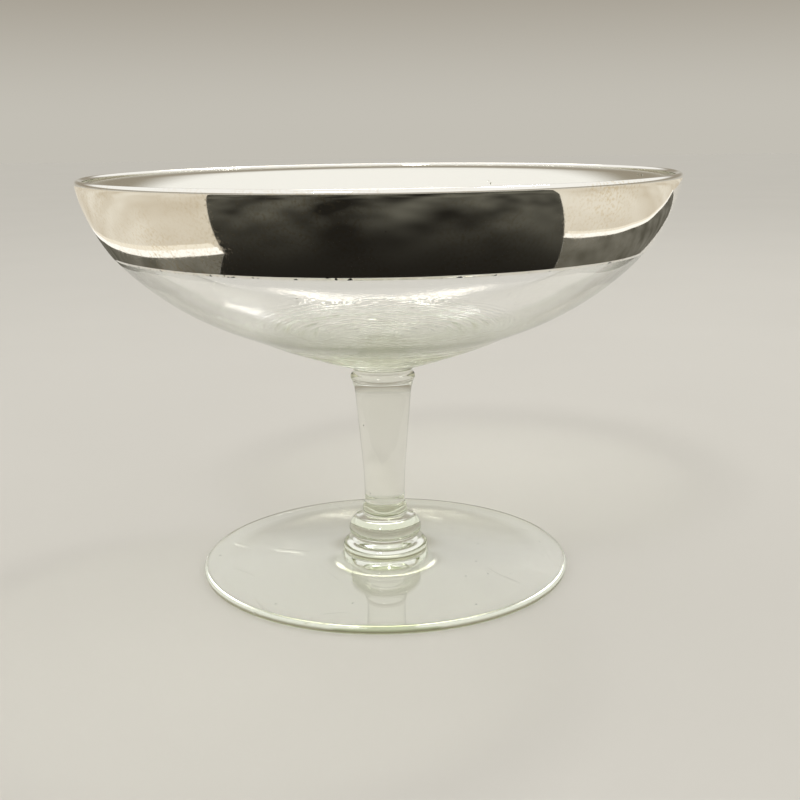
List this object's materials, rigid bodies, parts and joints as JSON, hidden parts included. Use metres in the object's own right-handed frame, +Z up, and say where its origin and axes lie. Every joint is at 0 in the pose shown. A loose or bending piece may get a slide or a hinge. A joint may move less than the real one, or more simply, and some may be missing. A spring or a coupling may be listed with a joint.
{
  "type": "pedestal compote",
  "caption": "Footed glass serving bowl with a wide curved bowl on a short knopped stem and a silver mirror band round the lip.",
  "frame": {"origin": "centre of the foot on the surface it stands on", "axes": "+Z up along the axis of the glass; it is a turned form, so +X and +Y are any two square directions"},
  "size_m": [0.16, 0.16, 0.1109],
  "materials": {
    "clear_glass": "clear blown glass, faintly yellow-green at its edges",
    "silver": "polished silver deposited on the glass, with small worn specks along its lower edge"
  },
  "bodies": {
    "root": {"glass_compote": "clear_glass", "silver_band": "silver"}
  },
  "joints": []
}
